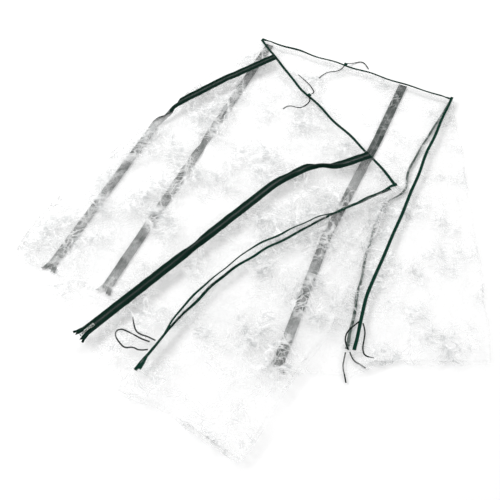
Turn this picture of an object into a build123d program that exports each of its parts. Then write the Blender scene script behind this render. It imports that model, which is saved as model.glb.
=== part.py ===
from build123d import *
import os
from math import atan2, degrees, hypot, radians, tan

# The clear film cover of a pop-up greenhouse, folded once across its ridge and laid on the floor.
# Millimetres, +Z up. X and Y are centred on the laid-out cover, and Z = 0 is the floor.
# From the floor up the layers are the right half of the front slope, the right and left halves
# of the back slope, and the left half of the front slope.

# Layer heights
FILM = 3.0                 # height that one crinkled layer of film takes up
DEEP_FILM = 6.0            # the same for the front slope, whose zippers lie in it
FRONT_LOW = 0.0            # underside of each layer
BACK_LOW = 22.0
BACK_HIGH = 27.0
FRONT_HIGH = 37.0
ON_FLOOR = 3.0             # middle of a tie that lies on the floor and on each layer
ON_FRONT_LOW = 10.0
ON_BACK = 28.0
OVER_BACK = 34.0
ON_FRONT = 46.0
ZIP_RISE = 4.7             # middle of a zipper above the underside of its layer
DRAPE = 32.0               # drop of the left end panel from the stack to the floor

# Bindings and ties
BINDING = 12.0             # width of a folded binding
BINDING_T = 6.0
TIE = 4.5                  # width of a tie
TIE_FROM_FOLD = 390.0      # right door's ties, along the ridge from its fold
TIE_PAST_BEND = 62.0       # left door's ties, past the first bend of the ridge's left half
TAB = (14.0, 12.0, 3.0)    # sewn tab that holds a pair of ties

# Zippers
TAPE_HALF = 16.5           # middle of the zipper to the outer edge of a tape
TAPE_T = 0.8
COIL_IN = 0.9              # a coil's two sides, from the middle of the zipper
COIL_OUT = 3.1
COIL_T = 2.4
TAIL = 14.0                # tape below the lower stops
STOP = (2.6, 2.2, 3.2)
SLIDER = (17.0, 11.0, 8.0)
SLIDER_CHANNEL = (7.2, 3.6)
SLIDER_SLOT = 1.7
POST = (5.0, 1.2)
BRIDGE = (9.0, 2.2, 3.2)
BRIDGE_HOLE = (5.0, 1.9)
SLIDER_FROM_END = 42.0     # closed position, from the end of the zipper
TOP_GAP = 45.0             # end of the slider's straight run, from the run's upper end
PULL = (27.0, 8.0, 1.2)
PULL_WINDOW = (4.4, 3.2)
PIVOT_BACK = 1.6           # pull's cross bar, towards the hem from the slider's middle
PIVOT_RISE = 0.95          # cross bar above the slider's top face
CUT_END = 150.0            # film cut-outs run this far past a zipper's ends
WIDEST_BEND = 300.0        # largest radius in a zipper or a binding

# Outlines in plan, before the whole cover is moved by CENTRE
CENTRE = (4.2, -6.8)       # middle of the laid-out cover
FOLD_LOW = (35, 879)
FOLD_HIGH = (34, 853)
LEFT_RIDGE = [FOLD_HIGH, (184, 553), (428, 194), (504, 47)]
RIGHT_APEX = (793, 506)
LEFT_APEX = LEFT_RIDGE[-1]
SIDE_FOLD = [(-131, 696), (-197, 598), (-461, 287), (-702, -32), (-768, -150), (-790, -244)]
FRONT_RIGHT_LEG = [RIGHT_APEX, (573, 157), (541, 35), (452, -18), (377, -209), (277, -566)]
BACK_RIGHT_LEG = [RIGHT_APEX, (650, 224), (540, -11), (351, -394), (295, -577)]
FRONT_LEFT_LEG = [LEFT_APEX, (278, -80), (222, -93), (-18, -224), (-212, -414), (-342, -643)]
BACK_LEFT_LEG = [LEFT_APEX, (259, -80), (-34, -263), (-140, -357), (-272, -517), (-356, -642)]
LOW_HEM = [(270, -650), (55, -640), (-495, -376), (-695, -292)]
HIGH_HEM = [(-397, -706), (-495, -578), (-543, -522), (-613, -423), (-716, -314)]
RIGHT_END_EDGE = [(278, -652), (354, -611), (703, -611), (731, -307), (768, 94)]
LEFT_END_EDGE = [(226, -515), (124, -636)]
LEFT_END_HEM = [(-45, -898), (-161, -823), (-277, -746)]

# Zippers from the ridge to the hem: route in plan, middle height, and the side of the door
ZIPPERS = {
    "right_inner": {"route": [(69, 857), (-488, -360)], "base": FRONT_LOW, "door": 1},
    "right_outer": {
        "route": [(615, 600), (470, 290), (245, -150), (63, -622)],
        "base": FRONT_LOW,
        "door": -1,
    },
    "left_inner": {"route": [(-392, 370), (-682, -277)], "base": FRONT_LOW, "door": -1},
    "left_outer": {
        "route": [(424, 188), (302, 134), (205, 138), (75, 57), (-530, -534)],
        "base": FRONT_HIGH,
        "door": -1,
    },
}
UPPER_RUN = [(87, 734), (-128, 592), (-287, 472)]   # left inner zipper above the side fold

# Ties, each from its tab to its free end
TIES = {
    "left_door_tie_outer": [(227, 508, 44), (240, 519, 38), (238, 548, 29), (222, 588, ON_BACK),
                            (181, 641, ON_BACK)],
    "left_door_tie_inner": [(212, 496, ON_FRONT), (222, 478, ON_FRONT), (212, 451, ON_FRONT),
                            (178, 424, ON_FRONT), (130, 446, ON_FRONT), (112, 422, ON_FRONT)],
    "right_door_tie_inner": [(379, 698, ON_BACK), (366, 674, ON_BACK), (342, 660, ON_BACK),
                             (294, 655, ON_BACK), (266, 618, ON_BACK)],
    "right_door_tie_outer": [(390, 714, 24), (405, 730, 10), (428, 742, ON_FLOOR), (458, 752, ON_FLOOR),
                             (475, 736, ON_FLOOR), (484, 705, ON_FLOOR)],
    "left_foot_tie_long": [(-322, -583, ON_FRONT), (-347, -587, ON_FRONT), (-368, -574, ON_FRONT),
                           (-392, -579, ON_FRONT), (-411, -559, ON_FRONT), (-423, -543, ON_FRONT),
                           (-426, -524, ON_FRONT), (-410, -515, ON_FRONT), (-388, -525, ON_FRONT),
                           (-365, -537, ON_FRONT), (-343, -550, ON_FRONT), (-319, -558, ON_FRONT)],
    "left_foot_tie_short": [(-302, -554, ON_FRONT), (-326, -541, ON_FRONT), (-354, -533, ON_FRONT),
                            (-371, -513, ON_FRONT), (-378, -476, ON_FRONT)],
    "right_foot_tie_long": [(331, -489, ON_BACK), (336, -512, ON_BACK), (329, -543, ON_BACK),
                            (320, -574, ON_BACK), (326, -600, ON_BACK), (352, -602, ON_BACK)],
    "right_foot_tie_mid": [(272, -577, ON_FRONT_LOW), (266, -597, ON_FRONT_LOW), (259, -624, ON_FRONT_LOW),
                           (263, -652, ON_FRONT_LOW), (265, -672, 7)],
    "right_foot_tie_short": [(285, -576, ON_FRONT_LOW), (289, -595, ON_FRONT_LOW),
                             (299, -609, ON_FRONT_LOW), (312, -615, ON_FRONT_LOW),
                             (327, -628, ON_FRONT_LOW)],
    "right_foot_tie_loop": [(318, -486, OVER_BACK), (303, -499, OVER_BACK), (285, -513, OVER_BACK),
                            (272, -533, OVER_BACK), (269, -557, OVER_BACK), (277, -580, OVER_BACK)],
}


def spread_radii(points):
    """One radius for each corner of a route, as large as its two runs allow."""
    radii = []
    for before, at, after in zip(points, points[1:], points[2:]):
        run_in = Vector(*at) - Vector(*before)
        run_out = Vector(*after) - Vector(*at)
        half_turn = radians(run_in.get_angle(run_out)) / 2
        radii.append(0.45 * min(run_in.length, run_out.length) / tan(half_turn))
    return radii


def route_wire(points, radii):
    if len(points) == 2:
        return Polyline(*points)
    return FilletPolyline(*points, radius=radii)


def flat(points):
    return [(x, y, 0) for x, y in points]


def slab(outline, low, thick=FILM):
    """A flat layer of film with the given outline."""
    return extrude(make_face(Polyline(*flat(outline), close=True)), thick).moved(Location((0, 0, low)))


def strip(points, side_from, side_to, low, high, start=0, end=0):
    """A ribbon along a flat route, between two distances to the left of it, with longer ends."""
    radii = [min(radius, WIDEST_BEND) for radius in spread_radii(flat(points))]
    wire = route_wire(flat(lengthened(points, start, end)), radii)
    across = (wire % 0).cross(Vector(0, 0, 1)) * -1
    plane = Plane(origin=wire @ 0, x_dir=across, z_dir=wire % 0)
    section = plane * Pos((side_from + side_to) / 2, (low + high) / 2) * Rectangle(
        side_to - side_from, high - low
    )
    return sweep(section, path=wire)


def lengthened(points, start, end):
    """The route again, with its first and last runs made longer."""
    def past(a, b, by):
        run = hypot(b[0] - a[0], b[1] - a[1])
        return (b[0] + (b[0] - a[0]) * by / run, b[1] + (b[1] - a[1]) * by / run)
    return [past(points[1], points[0], start), *points[1:-1], past(points[-2], points[-1], end)]


def zipper_cut(points, low):
    return strip(points, -TAPE_HALF, TAPE_HALF, low - 1, low + DEEP_FILM + 1, CUT_END, CUT_END)


def split_film(outline, low, routes, order):
    """A front slope layer cut along its zippers, as pieces in order."""
    layer = slab(outline, low, DEEP_FILM)
    for points in routes:
        layer = layer - zipper_cut(points, low)
    return sorted(layer.solids(), key=order)


def binding(points, low, thick=BINDING_T, start=0):
    return strip(points, -BINDING / 2, BINDING / 2, low, low + thick, start)


def zipper_side(points, side, middle, part, tail):
    """The tape or the coil on one side of a zipper: side is 1 on the left and -1 on the right."""
    near, far, thick = (COIL_OUT, TAPE_HALF, TAPE_T) if part == "tape" else (COIL_IN, COIL_OUT, COIL_T)
    past_end = tail if part == "tape" else 0
    ends = sorted((side * near, side * far))
    return strip(points, ends[0], ends[1], middle - thick / 2, middle + thick / 2, 0, past_end)


def frame_at(points, back, height):
    """A plane on the last run of a route, X towards the ridge, this far back from its end."""
    (x0, y0), (x1, y1) = points[-2], points[-1]
    run = hypot(x1 - x0, y1 - y0)
    ux, uy = (x0 - x1) / run, (y0 - y1) / run
    return Plane(origin=(x1 + ux * back, y1 + uy * back, height), x_dir=(ux, uy, 0), z_dir=(0, 0, 1))


def slider_body():
    """Two plates joined by a post, with a bridge on top. X points to the ridge, Z = 0 is the tape."""
    length, width, height = SLIDER
    body = Box(length, width, height)
    body = fillet(body.edges().filter_by(Axis.Z), 3.5)
    body = body - Box(length + 2, SLIDER_CHANNEL[0], SLIDER_CHANNEL[1])
    body = body - Box(length + 2, width + 2, SLIDER_SLOT)
    body = body + Pos(3, 0, 0) * Box(POST[0], POST[1], SLIDER_CHANNEL[1] + 1)
    bridge = Pos(0, 0, height / 2 + BRIDGE[2] / 2 - 0.25) * Box(BRIDGE[0], BRIDGE[1], BRIDGE[2] + 0.5)
    bridge = fillet(bridge.edges().filter_by(Axis.Y).sort_by(Axis.Z)[-2:], 1.4)
    bridge = bridge - Pos(0, 0, height / 2 + BRIDGE_HOLE[1] / 2) * Box(BRIDGE_HOLE[0], 9, BRIDGE_HOLE[1])
    return body + bridge


def pull_tab():
    """A flat tab that lies towards the hem, hung on the bridge by its cross bar."""
    length, width, thick = PULL
    bar_x = -PIVOT_BACK
    bar_z = SLIDER[2] / 2 + PIVOT_RISE
    far_x = bar_x - length
    tab = Pos((bar_x + far_x) / 2, 0, bar_z) * Box(length, width, thick)
    tab = fillet(tab.edges().filter_by(Axis.Z), 2.4)
    window = Pos(bar_x - PULL_WINDOW[0] / 2 + 0.6, 0, bar_z) * Box(PULL_WINDOW[0], PULL_WINDOW[1], 4)
    grip = Pos(far_x + 6.5, 0, bar_z) * Box(5.5, 3.4, 4)
    grip = fillet(grip.edges().filter_by(Axis.Z), 1.6)
    bar = Pos(bar_x, 0, bar_z) * Rot(90, 0, 0) * Cylinder(0.6, PULL_WINDOW[1] + 1)
    return tab - window - grip + bar


def tube(points):
    radii = spread_radii(points)
    wire = route_wire(points, radii)
    section = Plane(origin=wire @ 0, z_dir=wire % 0) * Circle(TIE / 2)
    body = sweep(section, path=wire)
    share = body.volume / (section.area * wire.length)
    return body, round(wire.length, 1), [round(r, 1) for r in radii], round(share, 4)


def ridge_point(start, end, distance):
    run = hypot(end[0] - start[0], end[1] - start[1])
    return (start[0] + (end[0] - start[0]) * distance / run, start[1] + (end[1] - start[1]) * distance / run)


def heading(start, end):
    return degrees(atan2(end[1] - start[1], end[0] - start[0]))


def tab_at(place, turn, low):
    tab = Pos(place[0], place[1], low + TAB[2] / 2) * Rot(0, 0, turn) * Box(*TAB)
    return fillet(tab.edges().filter_by(Axis.Z), 2)


nodes = {}

# Film of the front slope, cut by its zippers
low_outline = [FOLD_LOW, *FRONT_RIGHT_LEG, *LOW_HEM, *SIDE_FOLD[::-1]]
low_routes = [ZIPPERS[name]["route"] for name in ("right_inner", "right_outer", "left_inner")]
low_names = ["left_door_film_under", "middle_film_under", "right_door_film", "right_margin_film"]
low_pieces = split_film(low_outline, FRONT_LOW, low_routes, lambda s: s.center().X)
high_outline = [*LEFT_RIDGE[:-1], *FRONT_LEFT_LEG, *HIGH_HEM, *SIDE_FOLD[::-1]]
high_names = ["left_margin_film", "left_door_film_over", "middle_film_over"]
high_pieces = split_film(
    high_outline, FRONT_HIGH, [ZIPPERS["left_outer"]["route"], UPPER_RUN], lambda s: s.center().Y
)
print("front slope pieces", len(low_pieces), len(high_pieces))
nodes.update(zip(low_names, low_pieces))
nodes.update(zip(high_names, high_pieces))

# Film of the back slope
nodes["back_film_under"] = slab([FOLD_LOW, *BACK_RIGHT_LEG, *LOW_HEM, *SIDE_FOLD[::-1]], BACK_LOW)
nodes["back_film_over"] = slab([*LEFT_RIDGE[:-1], *BACK_LEFT_LEG, *HIGH_HEM, *SIDE_FOLD[::-1]], BACK_HIGH)

# Film of the end panels, each in two layers that meet at its middle fold
nodes["right_end_film_under"] = slab([*FRONT_RIGHT_LEG, *RIGHT_END_EDGE], FRONT_LOW, DEEP_FILM)
nodes["right_end_film_over"] = slab([*BACK_RIGHT_LEG, *RIGHT_END_EDGE], BACK_LOW)
left_crease = [HIGH_HEM[0], LEFT_END_EDGE[1]]


def left_end_layer(leg, low, thick, drape):
    """A flat part on the stack and a part that slopes from its crease down to the floor."""
    upper = slab([*leg, *left_crease, LEFT_END_EDGE[0]], low, thick)
    (ax, ay), (bx, by) = left_crease
    length = hypot(bx - ax, by - ay)
    tip = LEFT_END_HEM[0]
    reach = abs((bx - ax) * (tip[1] - ay) - (by - ay) * (tip[0] - ax)) / length
    outline = []
    for x, y in [left_crease[0], left_crease[1], *LEFT_END_HEM]:
        away = abs((bx - ax) * (y - ay) - (by - ay) * (x - ax)) / length
        outline.append((x, y, low - drape * away / reach))
    lower = extrude(Face(Wire.make_polygon(outline)), thick, dir=(0, 0, 1))
    return upper + lower


nodes["left_end_film_under"] = left_end_layer(BACK_LEFT_LEG, BACK_HIGH, FILM, BACK_HIGH)
nodes["left_end_film_over"] = left_end_layer(FRONT_LEFT_LEG, FRONT_HIGH, DEEP_FILM, DRAPE)

# Bindings
nodes["ridge_binding_right"] = binding(
    [FOLD_LOW, RIGHT_APEX], FRONT_LOW + DEEP_FILM, BACK_LOW - FRONT_LOW - DEEP_FILM
)
nodes["ridge_binding_left"] = binding(
    LEFT_RIDGE, BACK_HIGH + FILM, FRONT_HIGH - BACK_HIGH - FILM
)
nodes["front_right_leg_binding"] = binding(FRONT_RIGHT_LEG, FRONT_LOW + DEEP_FILM, start=-BINDING)
nodes["back_right_leg_binding"] = binding(BACK_RIGHT_LEG, BACK_LOW + FILM)
nodes["front_left_leg_binding"] = binding(FRONT_LEFT_LEG, FRONT_HIGH + DEEP_FILM)
nodes["back_left_leg_binding"] = binding(BACK_LEFT_LEG, BACK_HIGH + FILM, start=-2 * BINDING)

# Zippers
stops = []
for name, zipper in ZIPPERS.items():
    middle = zipper["base"] + ZIP_RISE
    route = zipper["route"]
    for part in ("tape", "coil"):
        for owner, side in (("door", zipper["door"]), ("wall", -zipper["door"])):
            piece = zipper_side(route, side, middle, part, TAIL)
            if name == "left_inner":
                over = zipper_side(UPPER_RUN, -side, FRONT_HIGH + ZIP_RISE, part, 0)
                piece = Compound([*piece.solids(), *over.solids()])
            nodes[f"{name}_zip_{owner}_{part}"] = piece
    rest = frame_at(route, SLIDER_FROM_END, middle)
    nodes[f"{name}_zip_slider"] = rest.location * slider_body()
    nodes[f"{name}_zip_pull"] = rest.location * pull_tab()
    for side in (-1, 1):
        across = side * (COIL_IN + COIL_OUT) / 2
        foot = frame_at(route, -STOP[0] / 2 - 0.2, middle).location
        stops.append(foot * Pos(0, across, 0) * Box(*STOP))
    (x0, y0), (x1, y1) = route[-2], route[-1]
    run = hypot(x1 - x0, y1 - y0)
    pivot = (rest.location * Pos(-PIVOT_BACK, 0, SLIDER[2] / 2 + PIVOT_RISE)).position
    print(
        "joint", name, "axis", round((x0 - x1) / run, 5), round((y0 - y1) / run, 5),
        "travel", round(run - SLIDER_FROM_END - TOP_GAP, 1),
        "pivot", round(pivot.X - CENTRE[0], 3), round(pivot.Y - CENTRE[1], 3), round(pivot.Z, 3),
    )
nodes["zipper_stops"] = Compound([solid for stop in stops for solid in stop.solids()])

# Tabs and ties
left_tie_place = ridge_point(LEFT_RIDGE[1], LEFT_RIDGE[2], TIE_PAST_BEND)
right_tie_place = ridge_point(FOLD_LOW, RIGHT_APEX, TIE_FROM_FOLD)
nodes["left_door_tie_tab"] = tab_at(
    left_tie_place, heading(LEFT_RIDGE[1], LEFT_RIDGE[2]), FRONT_HIGH + DEEP_FILM
)
nodes["right_door_tie_tab"] = tab_at(right_tie_place, heading(FOLD_LOW, RIGHT_APEX), BACK_LOW + FILM)
for name, points in TIES.items():
    body, length, radii, share = tube(points)
    print("tie", name, "length", length, "radii", radii, "volume share", share)
    nodes[name] = body

os.makedirs("parts", exist_ok=True)
move = Location((-CENTRE[0], -CENTRE[1], 0))
boxes = []
for name, piece in nodes.items():
    placed = piece.moved(move)
    export_step(placed, f"parts/{name}.step")
    if name not in TIES:
        boxes.append(placed.bounding_box())
print("X", round(min(b.min.X for b in boxes), 2), round(max(b.max.X for b in boxes), 2))
print("Y", round(min(b.min.Y for b in boxes), 2), round(max(b.max.Y for b in boxes), 2))
print("Z", round(min(b.min.Z for b in boxes), 2), round(max(b.max.Z for b in boxes), 2))
print(len(nodes), "nodes")
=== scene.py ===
import math

import bmesh
import bpy
import numpy as np
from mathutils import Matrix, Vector, geometry
from mathutils.kdtree import KDTree


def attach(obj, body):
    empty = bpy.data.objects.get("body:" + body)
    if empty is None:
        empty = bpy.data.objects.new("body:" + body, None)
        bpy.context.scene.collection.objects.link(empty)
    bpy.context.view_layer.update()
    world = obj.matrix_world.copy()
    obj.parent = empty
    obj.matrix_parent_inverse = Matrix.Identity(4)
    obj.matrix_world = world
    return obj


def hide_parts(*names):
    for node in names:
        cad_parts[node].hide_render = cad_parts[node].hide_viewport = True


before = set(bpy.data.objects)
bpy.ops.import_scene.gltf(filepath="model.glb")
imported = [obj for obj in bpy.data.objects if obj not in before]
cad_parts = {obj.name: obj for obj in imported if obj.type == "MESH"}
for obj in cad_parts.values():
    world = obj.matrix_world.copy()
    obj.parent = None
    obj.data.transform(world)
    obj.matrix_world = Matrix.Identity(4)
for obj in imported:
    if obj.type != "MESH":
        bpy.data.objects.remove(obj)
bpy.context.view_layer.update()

# ---------------------------------------------------------------- sizes, in metres
LAYOUT_CENTRE = (0.0042, -0.0068)   # the layout's own origin, as in the CAD source
CAMERA_PLACE = (-0.0222, -1.2504, 1.6551)
CAMERA_DOWN = 57.5                  # degrees below the horizon
CAMERA_LENS = 41.6
GRID = 0.0085
SPARSE = 1

# The heights at which the ties lie, from the floor up to the top layer.
ON_FLOOR, ON_FRONT_LOW, ON_BACK, OVER_BACK, ON_FRONT = 0.003, 0.010, 0.028, 0.034, 0.046

ZIP_STEP, BINDING_STEP = 0.006, 0.008
TAPE_IN, TAPE_OUT, TAPE_T = 0.0009, 0.0168, 0.0007
TAPE_COLUMNS = (TAPE_IN, 0.006, 0.010, 0.0135, TAPE_OUT)
TAPE_STITCHES = (0.0050, 0.0142)
TOOTH_IN, TOOTH_OUT, TOOTH_HALF, TOOTH_HIGH = -0.0005, 0.0032, 0.0006, 0.0011
COIL_PITCH, STITCH_PITCH = 0.0024, 0.0048
STITCH_HALF, THREAD_HALF = 0.0015, 0.00018
ABOVE = 0.01                        # any height that shows which way is up from a tape
TAIL, TAIL_SPLAY = 0.013, 0.005
TAIL_OPENS = 0.022                  # how far above the tail the two tapes start to part
RIPPLE, RIPPLE_LENGTH, CURL_LENGTH = 0.0008, 0.07, 0.05
PINCH_LIFT = 0.011
FOLD_BULGE, FOLD_RINGS = 0.006, 6
FOLD_OUTWARD = (-0.76, 0.65, 0.0)
BINDING_T, BINDING_SWAY, BINDING_ROLL = 0.006, 0.0028, 0.24
# Half of the folded tape's section and its mirror image: across the tape, and up from its middle.
BINDING_TOP = ((-0.0056, 0.0), (-0.0050, 0.0017), (-0.0034, 0.0023), (-0.0012, 0.0019), (0.0030, 0.0013),
               (0.0058, 0.0010), (0.0060, 0.0))
BINDING_SECTION = BINDING_TOP + tuple((across, -up) for across, up in BINDING_TOP[-2:0:-1])
BINDING_STITCH = (0.0044, 0.00115)
BINDING_LOWEST, BINDING_REACH = 0.0015, 0.0058
BINDING_STEADY = 0.05               # the ends lie as the corners hold them over this length
BINDING_SWAY_LENGTH, BINDING_ROLL_LENGTH = 0.13, 0.21
SEAM_REACH, SEAM_WIDTH = 0.035, 0.004
FOLD_MATCH, FOLD_ROUND = 0.003, 0.45    # how near two layers' edges match, and how far their fold bulges
WELD = 1e-4
GRID_ROW, GRID_JITTER, GRID_FROM_EDGE = 0.87, 0.22, 0.45    # as parts of the film's grid step
UPWARD = 0.7                        # the least upward part of a normal that counts as facing up
# The film's folds, widest first: how long they are, how much each adds, and how much a fan takes over.
CREASE_LENGTHS, CREASE_SHARES = (0.21, 0.085, 0.040), (0.46, 0.34, 0.20)
WIDE_SEED = 11                      # the widest folds run through every layer alike
FAN_SHARE, UNDER_FAN_SHARE = 0.72, 0.28
TIE_WIDTH, TIE_T = 0.0045, 0.0010
TIE_TILT, TIE_TURN, TIE_TURNS = 90, 14, 2.1     # degrees on edge, degrees to each side, and how often

# Where each zipper is pinched together: x, y, how far each side folds in degrees, and over what length.
PINCHES = {
    "left_inner": [(-0.345, 0.430, 68, 0.055)],
    "left_outer": [(0.244, 0.136, 72, 0.045), (0.120, 0.098, 28, 0.03), (-0.215, -0.199, 40, 0.05)],
    "right_inner": [(-0.206, 0.285, 45, 0.04)],
    "right_outer": [(0.330, -0.020, 35, 0.06)],
}
# How far each slider runs up its zipper, and how much of the zipper lies flat where it stops.
SLIDER_RUNS = {"left_inner": 0.622, "left_outer": 0.759, "right_inner": 1.251, "right_outer": 0.419}
SLIDER_FROM_FOOT, SLIDER_CALM = 0.042, 0.045
# How far each binding stands up on its far edge, in degrees.
BINDINGS = {"ridge_binding_right": 62, "ridge_binding_left": 15, "front_right_leg_binding": 50,
            "back_right_leg_binding": 25, "front_left_leg_binding": 50, "back_left_leg_binding": 25}
FANS = {"right_end": ((0.789, 0.513), 34), "left_end": ((0.500, 0.054), 30)}
CAD_MATERIALS = {"_slider": "metal", "_pull": "metal", "zipper_stops": "coil", "_tie_tab": "binding"}


# ---------------------------------------------------------------- camera
def make_camera():
    data = bpy.data.cameras.new("camera")
    data.lens = CAMERA_LENS
    data.sensor_width = 36
    data.clip_end = 50
    camera = bpy.data.objects.new("camera", data)
    camera.location = CAMERA_PLACE
    camera.rotation_euler = (math.radians(90 - CAMERA_DOWN), 0, 0)
    bpy.context.scene.collection.objects.link(camera)
    bpy.context.scene.camera = camera


# ---------------------------------------------------------------- ties
def layout(points_mm):
    """Route points from the layout's own millimetres to the frame's metres."""
    return [(x / 1000 - LAYOUT_CENTRE[0], y / 1000 - LAYOUT_CENTRE[1], z) for x, y, z in points_mm]


TIES = {
    "left_door_tie_outer": [(227, 508, 0.044), (240, 519, 0.038), (238, 548, 0.029),
                            (222, 588, ON_BACK), (181, 641, ON_BACK)],
    "left_door_tie_inner": [(212, 496, ON_FRONT), (222, 478, ON_FRONT), (212, 451, ON_FRONT),
                            (178, 424, ON_FRONT), (130, 446, ON_FRONT), (112, 422, ON_FRONT)],
    "right_door_tie_inner": [(379, 698, ON_BACK), (366, 674, ON_BACK), (342, 660, ON_BACK),
                             (294, 655, ON_BACK), (266, 618, ON_BACK)],
    "right_door_tie_outer": [(390, 714, 0.024), (405, 730, 0.010), (428, 742, ON_FLOOR),
                             (458, 752, ON_FLOOR), (475, 736, ON_FLOOR), (484, 705, ON_FLOOR)],
    "left_foot_tie_long": [(-322, -583, ON_FRONT), (-347, -587, ON_FRONT), (-368, -574, ON_FRONT),
                           (-392, -579, ON_FRONT), (-411, -559, ON_FRONT), (-423, -543, ON_FRONT),
                           (-426, -524, ON_FRONT), (-410, -515, ON_FRONT), (-388, -525, ON_FRONT),
                           (-365, -537, ON_FRONT), (-343, -550, ON_FRONT), (-319, -558, ON_FRONT)],
    "left_foot_tie_short": [(-302, -554, ON_FRONT), (-326, -541, ON_FRONT), (-354, -533, ON_FRONT),
                            (-371, -513, ON_FRONT), (-378, -476, ON_FRONT)],
    "right_foot_tie_long": [(331, -489, ON_BACK), (336, -512, ON_BACK), (329, -543, ON_BACK),
                            (320, -574, ON_BACK), (326, -600, ON_BACK), (352, -602, ON_BACK)],
    "right_foot_tie_mid": [(272, -577, ON_FRONT_LOW), (266, -597, ON_FRONT_LOW),
                           (259, -624, ON_FRONT_LOW), (263, -652, ON_FRONT_LOW), (265, -672, 0.007)],
    "right_foot_tie_short": [(285, -576, ON_FRONT_LOW), (289, -595, ON_FRONT_LOW),
                             (299, -609, ON_FRONT_LOW), (312, -615, ON_FRONT_LOW),
                             (327, -628, ON_FRONT_LOW)],
    "right_foot_tie_loop": [(318, -486, OVER_BACK), (303, -499, OVER_BACK), (285, -513, OVER_BACK),
                            (272, -533, OVER_BACK), (269, -557, OVER_BACK), (277, -580, OVER_BACK)],
}


def link(name, data):
    piece = bpy.data.objects.new(name, data)
    bpy.context.scene.collection.objects.link(piece)
    return piece


def make_tie(name, points, material):
    """A flat tie that follows its route and turns over a little as it goes."""
    data = bpy.data.curves.new(name, "CURVE")
    data.dimensions = "3D"
    data.resolution_u = 16
    data.twist_mode = "Z_UP"
    data.extrude = TIE_WIDTH / 2 - TIE_T / 2
    data.bevel_depth = TIE_T / 2
    data.bevel_resolution = 2
    data.use_fill_caps = True
    spline = data.splines.new("NURBS")
    spline.points.add(len(points) - 1)
    for index, (point, place) in enumerate(zip(spline.points, points)):
        point.co = (*place, 1)
        point.tilt = math.radians(TIE_TILT + TIE_TURN * math.sin(TIE_TURNS * index + len(name)))
    spline.order_u = 3
    spline.use_endpoint_u = True
    piece = link(name + "_tape", data)
    data.materials.append(material)
    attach(piece, "cover")
    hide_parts(name)


# ---------------------------------------------------------------- materials
class Nodes:
    """A short way to build one material's node tree."""

    def __init__(self, name):
        self.material = bpy.data.materials.new(name)
        self.material.use_nodes = True
        self.tree = self.material.node_tree
        self.shader = self.tree.nodes["Principled BSDF"]
        coordinates = self.tree.nodes.new("ShaderNodeTexCoord")
        self.place = coordinates.outputs["Object"]

    def add(self, kind, inputs=None, **settings):
        node = self.tree.nodes.new(kind)
        for key, value in settings.items():
            setattr(node, key, value)
        for key, value in (inputs or {}).items():
            self.put(node.inputs[key], value)
        return node

    def put(self, socket, value):
        if isinstance(value, bpy.types.NodeSocket):
            self.tree.links.new(value, socket)
        else:
            socket.default_value = value

    def math(self, operation, a, b=0.0, clamp=False):
        node = self.add("ShaderNodeMath", {0: a, 1: b}, operation=operation, use_clamp=clamp)
        return node.outputs[0]

    def noise(self, scale, detail=3.0, rough=0.5, vector=None):
        inputs = {"Scale": scale, "Detail": detail, "Roughness": rough, "Vector": vector or self.place}
        return self.add("ShaderNodeTexNoise", inputs).outputs["Fac"]

    def cracks(self, scale, vector=None):
        """0 on the lines of a random net, rising away from them."""
        node = self.add("ShaderNodeTexVoronoi", {"Scale": scale, "Vector": vector or self.place},
                        feature="DISTANCE_TO_EDGE")
        return node.outputs["Distance"]

    def span(self, value, low, high, to_low=0.0, to_high=1.0):
        inputs = {"Value": value, "From Min": low, "From Max": high, "To Min": to_low, "To Max": to_high}
        return self.add("ShaderNodeMapRange", inputs).outputs[0]

    def colours(self, factor, low, high):
        node = self.add("ShaderNodeMix", {"Factor": factor}, data_type="RGBA")
        node.inputs[6].default_value = (*low, 1)
        node.inputs[7].default_value = (*high, 1)
        return node.outputs[2]

    def bump(self, height, distance, strength=1.0, below=None):
        inputs = {"Height": height, "Distance": distance, "Strength": strength}
        if below is not None:
            inputs["Normal"] = below
        return self.add("ShaderNodeBump", inputs).outputs[0]

    def finish(self, **inputs):
        for key, value in inputs.items():
            self.put(self.shader.inputs[key.replace("_", " ")], value)
        return self.material


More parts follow.
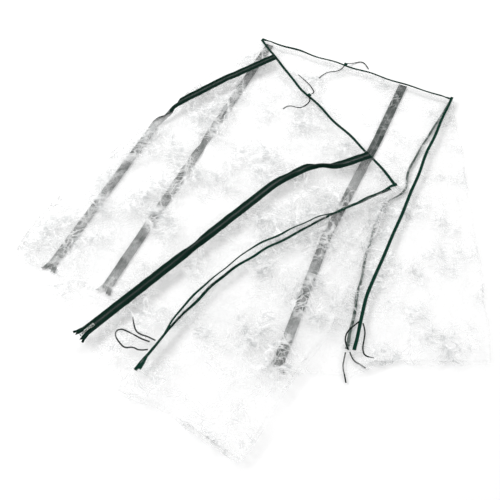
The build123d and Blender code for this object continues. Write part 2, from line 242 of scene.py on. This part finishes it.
def film_material():
    """Thin clear film: hardly seen where it is flat, glossy, and pale along its creases, where painted
    white glare lines and painted grey shade lines stand in for light on the creases; some facet patches
    carry painted grey shade too.
    """
    n = Nodes("crinkled_clear_film")
    twist = n.add("ShaderNodeTexNoise", {"Scale": 9.0, "Detail": 3.0, "Vector": n.place})
    warp = n.add("ShaderNodeMix", {"Factor": 0.09}, data_type="VECTOR")
    n.put(warp.inputs[4], n.place)
    n.put(warp.inputs[5], twist.outputs["Color"])
    bent = warp.outputs[1]
    streaks = []
    for turn, scale in ((0.9, (5.0, 19.0, 1.0)), (-0.5, (23.0, 7.0, 1.0)), (0.2, (9.0, 33.0, 1.0))):
        settings = {"Vector": bent, "Scale": scale, "Rotation": (0, 0, turn)}
        lie = n.add("ShaderNodeMapping", settings).outputs[0]
        away = n.math("ABSOLUTE", n.math("SUBTRACT", n.noise(1.0, 0.6, 0.5, lie), 0.5))
        streaks.append(n.span(away, 0.006, 0.026, 1.0, 0.0))
    cell = n.cracks(19.0, bent)
    streaks.append(n.span(cell, 0.005, 0.03, 0.9, 0.0))
    first_two = n.math("MAXIMUM", streaks[0], streaks[1])
    last_two = n.math("MAXIMUM", streaks[2], streaks[3])
    line = n.math("MAXIMUM", first_two, last_two)
    busy = n.span(n.noise(6.5, 3.0), 0.44, 0.60)
    line = n.math("MULTIPLY", line, busy)
    patches = []
    for scale in (24.0, 60.0):
        cells = n.add("ShaderNodeTexVoronoi", {"Scale": scale, "Vector": bent}).outputs["Color"]
        patches.append(n.add("ShaderNodeSeparateColor", {"Color": cells}).outputs[0])
    patch = n.math("ADD", n.math("MULTIPLY", patches[0], 0.6), n.math("MULTIPLY", patches[1], 0.4))
    haze = n.span(patch, 0.2, 0.8, 0.05, 0.14)
    # Crease lines are made more opaque: painted white glare where their colour stays white, painted grey
    # shade where it turns grey.
    alpha = n.math("ADD", haze, n.math("MULTIPLY", line, 0.42), clamp=True)
    # Painted shade: grey on part of the crease lines, and a little grey on some facet patches, standing
    # in for shade on the crumpled film.
    painted_shade = n.math("MULTIPLY", line, n.span(n.noise(37.0, 3.0), 0.50, 0.56))
    painted_shade = n.math("ADD", painted_shade, n.span(patch, 0.45, 0.85, 0.0, 0.14), clamp=True)
    colour = n.colours(painted_shade, (0.992, 0.995, 0.995), (0.56, 0.575, 0.58))
    height = n.math("ADD", n.math("MULTIPLY", cell, 0.8), n.math("MULTIPLY", patch, 0.10))
    height = n.math("SUBTRACT", height, n.math("MULTIPLY", line, 0.12))
    rough = n.span(n.noise(40.0, 3.0), 0.3, 0.7, 0.10, 0.26)
    return n.finish(Base_Color=colour, Roughness=rough, IOR=1.5, Alpha=alpha,
                    Normal=n.bump(height, 0.008, 0.75))


def woven_material(name, dark, light, rib_scale, rough=0.75):
    n = Nodes(name)
    fleck = n.noise(420.0, 2.0)
    broad = n.noise(22.0, 3.0)
    rib = n.add("ShaderNodeTexWave", {"Scale": rib_scale, "Distortion": 0.4, "Detail": 1.0,
                                      "Vector": n.place}, bands_direction="DIAGONAL").outputs["Fac"]
    cross = n.add("ShaderNodeTexWave", {"Scale": rib_scale * 0.83, "Distortion": 0.4, "Vector": n.place},
                  bands_direction="X").outputs["Fac"]
    weave = n.math("MULTIPLY", rib, cross)
    tone = n.math("ADD", n.math("MULTIPLY", weave, 0.45), n.math("MULTIPLY", fleck, 0.35))
    tone = n.math("ADD", tone, n.math("MULTIPLY", broad, 0.25), clamp=True)
    normal = n.bump(weave, 0.0004, 0.7, n.bump(fleck, 0.0002, 0.5))
    roughness = n.span(fleck, 0.3, 0.7, rough - 0.12, rough + 0.1)
    return n.finish(Base_Color=n.colours(tone, dark, light), Roughness=roughness, Normal=normal,
                    Specular_IOR_Level=0.05)


def plastic_material(name, dark, light):
    n = Nodes(name)
    tone = n.noise(180.0, 3.0)
    return n.finish(Base_Color=n.colours(tone, dark, light), Roughness=n.span(tone, 0.3, 0.7, 0.28, 0.42),
                    Normal=n.bump(n.noise(900.0, 2.0), 0.00015, 0.4))


def enamel_material(name):
    """Dark green enamel over a die casting, worn to bare metal on its raised edges."""
    n = Nodes(name)
    tone = n.noise(260.0, 4.0)
    edge = n.add("ShaderNodeNewGeometry").outputs["Pointiness"]
    worn = n.math("MULTIPLY", n.span(edge, 0.52, 0.60), n.span(n.noise(500.0, 3.0), 0.4, 0.6), clamp=True)
    colour = n.add("ShaderNodeMix", {"Factor": worn}, data_type="RGBA")
    n.put(colour.inputs[6], n.colours(tone, (0.012, 0.03, 0.024), (0.03, 0.065, 0.05)))
    colour.inputs[7].default_value = (0.45, 0.45, 0.43, 1)
    return n.finish(Base_Color=colour.outputs[2], Roughness=n.span(tone, 0.3, 0.7, 0.25, 0.45),
                    Metallic=worn, Normal=n.bump(tone, 0.0002, 0.5))


make_camera()
MATERIALS = {
    "film": film_material(),
    "binding": woven_material("green_binding_tape", (0.0006, 0.010, 0.006), (0.005, 0.060, 0.038), 300.0),
    "tape": woven_material("zipper_tape_cloth", (0.0004, 0.005, 0.003), (0.003, 0.030, 0.019), 380.0),
    "tie": woven_material("tie_tape_cloth", (0.0002, 0.002, 0.0013), (0.002, 0.012, 0.008), 500.0),
    "coil": plastic_material("zipper_coil_nylon", (0.0008, 0.006, 0.004), (0.004, 0.024, 0.017)),
    "thread": plastic_material("sewing_thread", (0.004, 0.03, 0.022), (0.02, 0.10, 0.07)),
    "metal": enamel_material("zipper_enamel"),
}
for tie_name, tie_points in TIES.items():
    make_tie(tie_name, layout(tie_points), MATERIALS["tie"])


# ---------------------------------------------------------------- reading the CAD solids
def top_loops(node):
    """The outlines of a solid's upward faces, each a closed list of points."""
    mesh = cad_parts[node].data
    places, edges = {}, {}
    for face in mesh.polygons:
        if face.normal.z < UPWARD:
            continue
        keys = []
        for index in face.vertices:
            co = mesh.vertices[index].co
            key = (round(co.x, 5), round(co.y, 5), round(co.z, 4))
            places[key] = tuple(co)
            keys.append(key)
        for a, b in zip(keys, keys[1:] + keys[:1]):
            if (b, a) in edges:
                del edges[(b, a)]
            else:
                edges[(a, b)] = True
    after = dict(edges)
    loops = []
    while after:
        start, key = next(iter(after))
        del after[(start, key)]
        loop = [start]
        while key != start:
            loop.append(key)
            step = next(edge for edge in after if edge[0] == key)
            del after[step]
            key = step[1]
        loops.append(np.array([places[k] for k in loop]))
    return [loop for loop in loops if len(loop) > 3]


def lengths_along(points):
    return np.concatenate([[0], np.cumsum(np.linalg.norm(np.diff(points, axis=0), axis=1))])


def values_at(stations, along, lines):
    """Points or vectors known at the distances in along, read off at the stations."""
    return np.stack([np.interp(stations, along, lines[:, k]) for k in range(3)], axis=1)


def resampled(points, number):
    along = lengths_along(points)
    return values_at(np.linspace(0, along[-1], number), along, points)


def rails(loop, step):
    """The two long sides of a ribbon's outline, resampled together, both from the ridge's end."""
    count = len(loop)
    before = loop - np.roll(loop, 1, axis=0)
    after = np.roll(loop, -1, axis=0) - loop
    turns = (before * after).sum(axis=1)
    turns /= np.linalg.norm(before, axis=1) * np.linalg.norm(after, axis=1)
    corners = sorted(np.argsort(turns)[:4])
    sides = []
    for first, last in zip(corners, corners[1:] + [corners[0] + count]):
        sides.append(loop[np.arange(first, last + 1) % count])
    sides.sort(key=lambda side: -lengths_along(side)[-1])
    number = max(3, round(lengths_along(sides[0])[-1] / step) + 1)
    return [resampled(side if side[0][1] > side[-1][1] else side[::-1], number) for side in sides[:2]]


def unit(vectors):
    return vectors / np.maximum(np.linalg.norm(vectors, axis=-1, keepdims=True), 1e-9)


def smooth(value):
    value = np.clip(value, 0, 1)
    return value * value * (3 - 2 * value)


# ---------------------------------------------------------------- uneven shapes
def waves(x, y, wavelength, seed):
    """An even, smooth unevenness from -1 to 1: a few plane waves in mixed directions."""
    random = np.random.default_rng(seed)
    total = 0
    for _ in range(5):
        angle = random.uniform(0, math.pi)
        size = wavelength * random.uniform(0.7, 1.5)
        phase = random.uniform(0, 2 * math.pi)
        total = total + np.cos(2 * math.pi * (x * math.cos(angle) + y * math.sin(angle)) / size + phase)
    return total / 3.2


def creases(x, y, wavelength, seed):
    """Flat facets between sharp creases, from 0 to 1, as crumpled film takes them."""
    random = np.random.default_rng(seed)
    total = 0
    weights = 0
    for turn in range(5):
        angle = random.uniform(0, math.pi)
        drift = 0.55 * waves(x, y, wavelength * 2.4, seed + 31 * turn + 1)
        along = (x * math.cos(angle) + y * math.sin(angle)) / wavelength + random.uniform(0, 1) + drift
        weight = 0.55 + 0.45 * waves(x, y, wavelength * 3.1, seed + 57 * turn + 2)
        total = total + weight * np.abs(along % 1 - 0.5) * 2
        weights = weights + weight
    return np.clip(total / np.maximum(weights, 0.5), 0, 1)


def fan(x, y, apex, pleats, seed):
    """Pleats that spread from an apex, from 0 to 1."""
    dx, dy = x - apex[0], y - apex[1]
    away = np.hypot(dx, dy)
    angle = np.arctan2(dy, dx) + 0.05 * waves(x, y, 0.35, seed)
    ripple = np.abs((angle * pleats / math.pi + 0.25 * waves(x, y, 0.5, seed + 3)) % 1 - 0.5) * 2
    return ripple * smooth(away / 0.25)


# ---------------------------------------------------------------- meshes
class Build:
    """Collects the vertices and faces of one piece."""

    def __init__(self):
        self.points, self.faces, self.count = [], [], 0

    def add(self, points, faces):
        faces = [tuple(index + self.count for index in face) for face in faces]
        self.points.extend(map(tuple, points))
        self.faces.extend(faces)
        self.count = len(self.points)

    def sweep(self, sections):
        """A closed section carried along: sections is (rows, points round, 3)."""
        rows, around = sections.shape[:2]
        faces = []
        for row in range(rows - 1):
            for k in range(around):
                a, b = row * around + k, row * around + (k + 1) % around
                faces.append((a, b, b + around, a + around))
        faces.append(tuple(range(around))[::-1])
        faces.append(tuple(range((rows - 1) * around, rows * around)))
        self.add(sections.reshape(-1, 3), faces)

    def box(self, place, along, side, up):
        """A small box from its centre and its three half sizes as vectors."""
        signs = [(i, j, k) for i in (-1, 1) for j in (-1, 1) for k in (-1, 1)]
        corners = [place + i * along + j * side + k * up for i, j, k in signs]
        ends = [(0, 1, 3, 2), (4, 6, 7, 5)]
        around = [(0, 4, 5, 1), (2, 3, 7, 6), (0, 2, 6, 4), (1, 5, 7, 3)]
        self.add(corners, ends + around)

    def piece(self, name, material, slot, replaces, shade_smooth=False):
        mesh = bpy.data.meshes.new(name)
        mesh.from_pydata(self.points, [], self.faces)
        mesh.materials.append(material)
        if shade_smooth:
            mesh.polygons.foreach_set("use_smooth", [True] * len(mesh.polygons))
        cleaned = bmesh.new()
        cleaned.from_mesh(mesh)
        bmesh.ops.recalc_face_normals(cleaned, faces=cleaned.faces)
        cleaned.to_mesh(mesh)
        cleaned.free()
        made = link(name, mesh)
        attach(made, "cover")
        if replaces:
            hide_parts(*replaces)


# ---------------------------------------------------------------- zippers
def strip_frames(zipper):
    """Each run of a zipper as (middle points, unit vectors towards the door), ridge end first."""
    doors = [rails(loop, ZIP_STEP) for loop in top_loops(f"{zipper}_zip_door_coil")]
    walls = [rails(loop, ZIP_STEP) for loop in top_loops(f"{zipper}_zip_wall_coil")]
    runs = []
    for door in doors:
        wall = min(walls, key=lambda pair: np.linalg.norm(pair[0][0] - door[0][0]))
        number = len(door[0])
        wall = [resampled(side, number) for side in wall]
        inner = min(((a, b) for a in door for b in wall), key=lambda p: np.linalg.norm(p[0][0] - p[1][0]))
        middle = (inner[0] + inner[1]) / 2
        towards = inner[0] - inner[1]
        towards[:, 2] = 0
        runs.append((middle, unit(towards)))
    runs.sort(key=lambda run: -run[0][0][1])
    return runs


def round_the_fold(upper, lower):
    """Joins a zipper's run on the top layer to its run on the floor layer round the side fold."""
    start, end = upper[0][-1], lower[0][0]
    number = round(np.linalg.norm(end - start) / ZIP_STEP)
    t = smooth(np.arange(1, number) / number)[:, None]
    along = unit(end - start)
    outward = np.array([along[1], -along[0], 0.0])
    if outward @ np.array(FOLD_OUTWARD) < 0:
        outward = -outward
    middle = start + (end - start) * t + outward * FOLD_BULGE * np.sin(math.pi * t)
    across = unit(upper[1][-1] * (1 - t) - lower[1][0] * t)
    rise = -1.0 if upper[1][-1] @ outward > 0 else 1.0
    sideways = np.cos(math.pi * t) * across + np.sin(math.pi * t) * np.array([0, 0, rise])
    return np.concatenate([upper[0], middle, lower[0]]), np.concatenate([upper[1], sideways, lower[1]])


class Zipper:
    """One zipper's middle line, its own directions, and how far it is pinched at each point."""

    def __init__(self, name):
        self.name = name
        runs = strip_frames(name)
        flat, side = runs[0] if len(runs) == 1 else round_the_fold(*runs)
        self.flat = flat
        self.along = lengths_along(flat)
        self.ahead = unit(np.gradient(flat, axis=0))
        self.side = unit(side - self.ahead * (side * self.ahead).sum(axis=1, keepdims=True))
        self.up = np.cross(self.ahead, self.side)
        if self.up[0][2] < 0:
            self.up = -self.up
        self.pinch = np.zeros(len(flat))
        for x, y, degrees, reach in PINCHES[name]:
            away = np.hypot(flat[:, 0] - x, flat[:, 1] - y)
            self.pinch = np.maximum(self.pinch, math.radians(degrees) * np.exp(-((away / reach) ** 2)))
        foot = self.along[-1] - SLIDER_FROM_FOOT
        self.ripple = np.full(len(flat), RIPPLE)
        for stop in (foot, foot - SLIDER_RUNS[name]):
            self.ripple *= 1 - np.exp(-(((self.along - stop) / SLIDER_CALM) ** 4))
        ripple = self.ripple * waves(self.along, 0 * self.along, RIPPLE_LENGTH, len(name))
        lift = PINCH_LIFT * np.sin(self.pinch) * np.maximum(self.up[:, 2], 0) + ripple
        self.middle = flat + self.up * lift[:, None]

    def at(self, across, above=0.0):
        """A line of points this far from the middle, positive towards the door, and this far above."""
        sign = 1 if across > 0 else -1
        fold = self.pinch[:, None]
        out = sign * np.cos(fold) * self.side - np.sin(fold) * self.up
        normal = np.cos(fold) * self.up + sign * np.sin(fold) * self.side
        curl = self.ripple * waves(self.along, 0 * self.along, CURL_LENGTH, sign + 5)
        curl = curl * abs(across) / TAPE_OUT
        return self.middle + out * abs(across) + normal * (above + curl)[:, None]

    def rows_at(self, stations, lines):
        """The points of a line at these distances along the zipper."""
        return values_at(stations, self.along, lines)


def make_tape(zipper, sign, part):
    """One side's woven tape, which opens outwards at the tail, as it has no coil there."""
    tail = smooth((zipper.along - zipper.along[-1] + TAIL_OPENS) / TAIL_OPENS)[:, None]
    rows = [zipper.at(sign * column, TAPE_T / 2) for column in TAPE_COLUMNS]
    rows += [zipper.at(sign * column, -TAPE_T / 2) for column in TAPE_COLUMNS[::-1]]
    splayed = [row + TAIL_SPLAY * sign * tail * zipper.side for row in rows]
    ends = []
    for k, row in enumerate(splayed):
        fray = TAIL * (0.7 + 0.3 * math.cos(9 * k))
        end = row[-1:] + zipper.ahead[-1:] * fray
        ends.append(end + TAIL_SPLAY * sign * zipper.side[-1:])
    sections = np.stack([np.concatenate(pair) for pair in zip(splayed, ends)], axis=1)
    tape = Build()
    tape.sweep(sections)
    node = f"{zipper.name}_zip_{part}_tape"
    tape.piece(f"{zipper.name}_zip_{part}_cloth", MATERIALS["tape"], "zipper_tape", [node], True)


def make_coil(zipper, sign, part):
    """The nylon coil as its row of teeth, one turn every few millimetres."""
    coil = Build()
    far, high = zipper.at(sign * TOOTH_OUT), zipper.at(sign * TOOTH_OUT, ABOVE)
    near = far - (far - zipper.middle) * (TOOTH_OUT - TOOTH_IN) / TOOTH_OUT
    pitch = COIL_PITCH * SPARSE
    stations = np.arange(pitch * (1 if sign > 0 else 1.5), zipper.along[-1] - pitch, pitch)
    near, far, high = (zipper.rows_at(stations, line) for line in (near, far, high))
    ahead = zipper.rows_at(stations, zipper.ahead)
    centre = (near + far) / 2
    up = unit(high - far)
    for place, reach, forward, above in zip(centre, (far - near) / 2, ahead, up):
        coil.box(place, forward * TOOTH_HALF, reach, above * TOOTH_HIGH)
    node = f"{zipper.name}_zip_{part}_coil"
    coil.piece(f"{zipper.name}_zip_{part}_teeth", MATERIALS["coil"], "zipper_coil", [node])


def make_stitches(zipper):
    """Two rows of thread down each tape."""
    thread = Build()
    pitch = STITCH_PITCH * SPARSE
    stations = np.arange(pitch, zipper.along[-1], pitch)
    ahead = zipper.rows_at(stations, zipper.ahead)
    for sign in (-1, 1):
        for across in TAPE_STITCHES:
            line = zipper.rows_at(stations, zipper.at(sign * across, TAPE_T / 2))
            above = zipper.rows_at(stations, zipper.at(sign * across, ABOVE)) - line
            side = unit(np.cross(ahead, above))
            for place, forward, left, rise in zip(line, ahead, side, unit(above)):
                thread.box(place, forward * STITCH_HALF, left * THREAD_HALF, rise * THREAD_HALF)
    thread.piece(f"{zipper.name}_zip_stitching", MATERIALS["thread"], "zipper_tape", [])


# ---------------------------------------------------------------- bindings
def binding_rows(node):
    """A binding's middle line and the unit vector across it, from its outline."""
    left, right = rails(max(top_loops(node), key=len), BINDING_STEP)
    right = resampled(right, len(left))
    middle = (left + right) / 2
    across = right - left
    across[:, 2] = 0
    return middle, unit(across)


def make_binding(node, lean):
    """Tape folded over the film's edge: a round fold, two flat lips and a row of stitches."""
    middle, across = binding_rows(node)
    along = lengths_along(middle)
    ahead = unit(np.gradient(middle, axis=0))
    up = np.cross(ahead, across)
    up = up * np.sign(up[:, 2:3])
    seed = sum(map(ord, node))
    sway = BINDING_SWAY * waves(along, 0 * along, BINDING_SWAY_LENGTH, seed)[:, None]
    steady = smooth(np.minimum(along, along[-1] - along) / BINDING_STEADY)[:, None]
    towards_back = 1 if across[:, 1].mean() > 0 else -1
    roll = BINDING_ROLL * waves(along, 0 * along, BINDING_ROLL_LENGTH, seed + 1)[:, None]
    turn = roll - towards_back * math.radians(lean) * steady
    middle = middle - up * BINDING_T / 2 + across * sway * steady
    lowest = BINDING_LOWEST + BINDING_REACH * np.abs(np.sin(turn[:, 0]))
    middle[:, 2] = np.maximum(middle[:, 2], lowest)
    rolled = np.cos(turn) * across + np.sin(turn) * up
    normal = np.cos(turn) * up - np.sin(turn) * across
    rows = [middle + rolled * out + normal * rise for out, rise in BINDING_SECTION]
    tape = Build()
    tape.sweep(np.stack(rows, axis=1))
    pitch = STITCH_PITCH * SPARSE
    stations = np.arange(pitch, along[-1], pitch)
    sewn = middle + rolled * BINDING_STITCH[0] + normal * BINDING_STITCH[1]
    thread = Build()
    stitches = [values_at(stations, along, lines) for lines in (sewn, ahead, rolled, normal)]
    for place, forward, side, rise in zip(*stitches):
        thread.box(place, forward * STITCH_HALF, side * THREAD_HALF, rise * THREAD_HALF)
    tape.piece(node + "_tape", MATERIALS["binding"], "green_binding", [node], True)
    thread.piece(node + "_stitching", MATERIALS["thread"], "green_binding", [])
    return middle


# ---------------------------------------------------------------- film
def inside(points, loop):
    """Whether each point lies inside a closed outline, by counting crossings."""
    x, y = points[:, 0], points[:, 1]
    result = np.zeros(len(points), dtype=bool)
    for (ax, ay), (bx, by) in zip(loop, np.roll(loop, -1, axis=0)):
        crosses = (ay > y) != (by > y)
        if ay != by:
            result ^= crosses & (x < (bx - ax) * (y - ay) / (by - ay) + ax)
    return result


def divided(loop, step):
    """The outline with each straight side cut into equal lengths."""
    points = []
    for a, b in zip(loop, np.roll(loop, -1, axis=0)):
        number = max(1, round(np.linalg.norm(b - a) / step))
        points += [a + (b - a) * k / number for k in range(number)]
    return np.array(points)


def outline_area(loop):
    x, y = loop[:, 0], loop[:, 1]
    return abs((x * np.roll(y, -1) - y * np.roll(x, -1)).sum()) / 2


def grid_inside(loop, step, seed):
    random = np.random.default_rng(seed)
    low, high = loop.min(axis=0), loop.max(axis=0)
    rows = np.arange(low[1] + step / 2, high[1], step * GRID_ROW)
    points = []
    for index, y in enumerate(rows):
        xs = np.arange(low[0] + step * (0.25 + 0.5 * (index % 2)), high[0], step)
        points.append(np.stack([xs, np.full(len(xs), y)], axis=1))
    points = np.concatenate(points)
    points += random.uniform(-GRID_JITTER, GRID_JITTER, points.shape) * step
    return points[inside(points, loop)]


def clear_of(points, edge, distance):
    tree = KDTree(len(edge))
    for index, (x, y) in enumerate(edge):
        tree.insert((x, y, 0), index)
    tree.balance()
    return np.array([p for p in points if tree.find((p[0], p[1], 0))[2] > distance]).reshape(-1, 2)


class Seams:
    """Where the film is sewn to tapes and bindings, and how far each place has moved."""

    def __init__(self):
        self.flat, self.shift, self.height = [], [], []

    def add(self, flat, moved):
        self.flat += [tuple(p) for p in flat]
        self.shift += [tuple(p) for p in (moved - flat)[:, :2]]
        self.height += [float(p[2]) for p in moved]

    def near(self, low, high):
        """A tree of the seam points that belong to a layer."""
        chosen = [k for k, p in enumerate(self.flat) if low - SEAM_WIDTH <= p[2] <= high + SEAM_WIDTH]
        tree = KDTree(max(1, len(chosen)))
        for k in chosen:
            tree.insert((self.flat[k][0], self.flat[k][1], 0), k)
        tree.balance()
        return tree if chosen else None


def relief(x, y, layer, seed):
    """How the film stands up, from 0 to 1: wide folds, then smaller and smaller creases."""
    height = 0
    for length, share, crease_seed in zip(CREASE_LENGTHS, CREASE_SHARES, (WIDE_SEED, seed, seed + 5)):
        height = height + share * creases(x, y, length, crease_seed)
    if layer in FANS:
        apex, pleats = FANS[layer]
        height = FAN_SHARE * fan(x, y, apex, pleats, seed) + UNDER_FAN_SHARE * height
    return height


def film_layer(node, low, high, seams, seed):
    """One layer of film over a CAD slab: points, faces, and the outline's own points."""
    loop = max(top_loops(node), key=outline_area)[:, :2]
    edge = divided(loop, GRID)
    inner = clear_of(grid_inside(loop, GRID, seed), edge, GRID * GRID_FROM_EDGE)
    flat = np.concatenate([edge, inner])
    count = len(edge)
    corners = [Vector((float(x), float(y))) for x, y in flat]
    ring = [(k, (k + 1) % count) for k in range(count)]
    made = geometry.delaunay_2d_cdt(corners, ring, [], 1, 1e-7)
    origin = [sources[0] if sources else 0 for sources in made[3]]
    flat = np.array([tuple(v) for v in made[0]])
    x, y = flat[:, 0], flat[:, 1]
    layer = node.split("_film")[0]
    height = low + (high - low) * relief(x, y, layer, seed)
    tree = seams.near(low, high)
    if tree:
        for k, (px, py) in enumerate(flat):
            _, index, away = tree.find((px, py, 0))
            if away < SEAM_REACH:
                free = float(smooth(np.array((away - SEAM_WIDTH) / SEAM_REACH)))
                height[k] = seams.height[index] * (1 - free) + height[k] * free
                x[k] += seams.shift[index][0] * (1 - free)
                y[k] += seams.shift[index][1] * (1 - free)
    points = np.stack([x, y, height], axis=1)
    on_edge = [k for k, source in enumerate(origin) if source < count]
    return points, [tuple(face) for face in made[2]], on_edge, outline_area(loop)


def join_fold(build, over, under):
    """The film that turns round the side fold, from the edge of one layer to the other's."""
    tree = KDTree(len(under[2]))
    for k in under[2]:
        tree.insert((under[0][k][0], under[0][k][1], 0), k)
    tree.balance()
    pairs = {}
    for k in over[2]:
        place = over[0][k]
        _, match, away = tree.find((place[0], place[1], 0))
        if away < FOLD_MATCH:
            pairs[k] = match
    edges = {edge: True for face in over[1] for edge in zip(face, face[1:] + face[:1])}
    for a, b in edges:
        if (b, a) in edges or a not in pairs or b not in pairs or pairs[a] == pairs[b]:
            continue
        pa, pb = over[0][a], over[0][b]
        qa, qb = under[0][pairs[a]], under[0][pairs[b]]
        out = np.array([pb[1] - pa[1], pa[0] - pb[0], 0.0])
        out /= max(np.linalg.norm(out), 1e-9)
        rings = []
        for t in np.linspace(0, 1, FOLD_RINGS):
            bulge = out * abs(pa[2] - qa[2]) * FOLD_ROUND * math.sin(math.pi * t)
            rings.append((pa + (qa - pa) * t + bulge, pb + (qb - pb) * t + bulge))
        for (a0, b0), (a1, b1) in zip(rings, rings[1:]):
            build.add((a0, b0, b1, a1), [(0, 1, 2, 3)])


def make_film(name, layers, seams):
    """One sheet of film of one or two layers, joined round the fold where they meet."""
    build = Build()
    parts = []
    for index, (node, low, high) in enumerate(layers):
        part = film_layer(node, low, high, seams, 100 + 7 * len(name) + index)
        parts.append(part)
        build.add(part[0], part[1])
    if len(parts) == 2:
        join_fold(build, *parts)
    mesh = bpy.data.meshes.new(name)
    mesh.from_pydata(build.points, [], build.faces)
    mesh.materials.append(MATERIALS["film"])
    welded = bmesh.new()
    welded.from_mesh(mesh)
    bmesh.ops.remove_doubles(welded, verts=welded.verts, dist=WELD)
    welded.to_mesh(mesh)
    welded.free()
    mesh.polygons.foreach_set("use_smooth", [True] * len(mesh.polygons))
    sheet = link(name, mesh)
    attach(sheet, "cover")
    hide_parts(*[node for node, _, _ in layers])


# ---------------------------------------------------------------- the whole cover
# Each sheet of film: its CAD slabs from the top down, with the heights that the film keeps between.
FLOOR_LAYER = (0.0008, 0.0175)
BACK_LOW_LAYER = (0.0190, 0.0255)
BACK_HIGH_LAYER = (0.0268, 0.0315)
TOP_LAYER = (0.0330, 0.0570)
END_HIGH_LAYER = (0.0115, 0.0370)
END_LOW_LAYER = (0.0008, 0.0100)
SHEETS = {
    "left_margin_sheet": ([("left_margin_film", *TOP_LAYER)], "laid", (0.22, 1.20), ["back_film_over"]),
    "left_door_sheet": ([("left_door_film_over", *TOP_LAYER), ("left_door_film_under", *FLOOR_LAYER)],
                        "folded", (0.66, 1.36), ["back_film_over", "floor"]),
    "middle_sheet": ([("middle_film_over", *TOP_LAYER), ("middle_film_under", *FLOOR_LAYER)],
                     "folded", (0.24, 1.36), ["back_film_over", "floor"]),
    "right_door_sheet": ([("right_door_film", *FLOOR_LAYER)], "laid", (0.66, 1.40), ["floor"]),
    "right_margin_sheet": ([("right_margin_film", *FLOOR_LAYER)], "laid", (0.24, 1.25), ["floor"]),
    "back_sheet": ([("back_film_over", *BACK_HIGH_LAYER), ("back_film_under", *BACK_LOW_LAYER)],
                   "folded", (1.85, 1.42), ["right_door_film", "middle_film_under"]),
    "left_end_sheet": ([("left_end_film_over", *TOP_LAYER), ("left_end_film_under", *BACK_LOW_LAYER)],
                       "folded", (0.95, 1.30), ["back_film_over", "floor"]),
    "right_end_sheet": ([("right_end_film_over", *END_HIGH_LAYER),
                         ("right_end_film_under", *END_LOW_LAYER)],
                        "folded", (0.90, 1.25), ["floor"]),
}

seams = Seams()
zippers = [Zipper(name) for name in PINCHES]
for zipper in zippers:
    for sign, part in ((1, "door"), (-1, "wall")):
        make_tape(zipper, sign, part)
        make_coil(zipper, sign, part)
        flat_edge = zipper.flat + sign * zipper.side * TAPE_OUT
        seams.add(flat_edge, zipper.at(sign * TAPE_OUT))
    make_stitches(zipper)
for node, lean in BINDINGS.items():
    line = make_binding(node, lean)
    seams.add(line, line)
for name, (layers, held, flat, rests_on) in SHEETS.items():
    make_film(name, layers, seams)

for ending, material in CAD_MATERIALS.items():
    for name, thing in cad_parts.items():
        if name.endswith(ending):
            thing.data.materials.clear()
            thing.data.materials.append(MATERIALS[material])


# ---------------------------------------------------------------- floor and light
FLOOR_HALF = 12.0
WORLD_STRENGTH = 0.67
# Each light: where it stands, its width and height, and its watts. All of them face the cover.
LIGHTS = {
    "key_light": ((-2.6, 0.6, 3.2), (2.2, 1.2), 73),
    "back_light": ((0.4, 3.2, 3.6), (2.6, 0.5), 45),
    "fill_light": ((3.0, -1.8, 2.8), (1.6, 1.6), 19),
}


def make_floor():
    mesh = bpy.data.meshes.new("floor")
    corners = [(x * FLOOR_HALF, y * FLOOR_HALF, 0) for x, y in ((-1, -1), (1, -1), (1, 1), (-1, 1))]
    mesh.from_pydata(corners, [], [(0, 1, 2, 3)])
    n = Nodes("pale_floor")
    tone = n.noise(1.5, 3.0)
    mesh.materials.append(n.finish(Base_Color=n.colours(tone, (0.94, 0.94, 0.94), (0.96, 0.96, 0.96)),
                                   Roughness=0.9))
    floor = link("floor", mesh)


def make_light(name, place, size, power):
    data = bpy.data.lights.new(name, "AREA")
    data.shape = "RECTANGLE"
    data.size, data.size_y = size
    data.energy = power
    light = link(name, data)
    light.location = place
    light.rotation_euler = (-Vector(place)).to_track_quat("-Z", "Y").to_euler()


make_floor()
for name, (place, size, power) in LIGHTS.items():
    make_light(name, place, size, power)
world = bpy.data.worlds.new("white_room")
world.use_nodes = True
world.node_tree.nodes["Background"].inputs["Color"].default_value = (1, 1, 1, 1)
world.node_tree.nodes["Background"].inputs["Strength"].default_value = WORLD_STRENGTH
bpy.context.scene.world = world
bpy.context.scene.view_settings.view_transform = "Standard"
bpy.context.scene.cycles.transparent_max_bounces = 64   # light passes through many layers of film
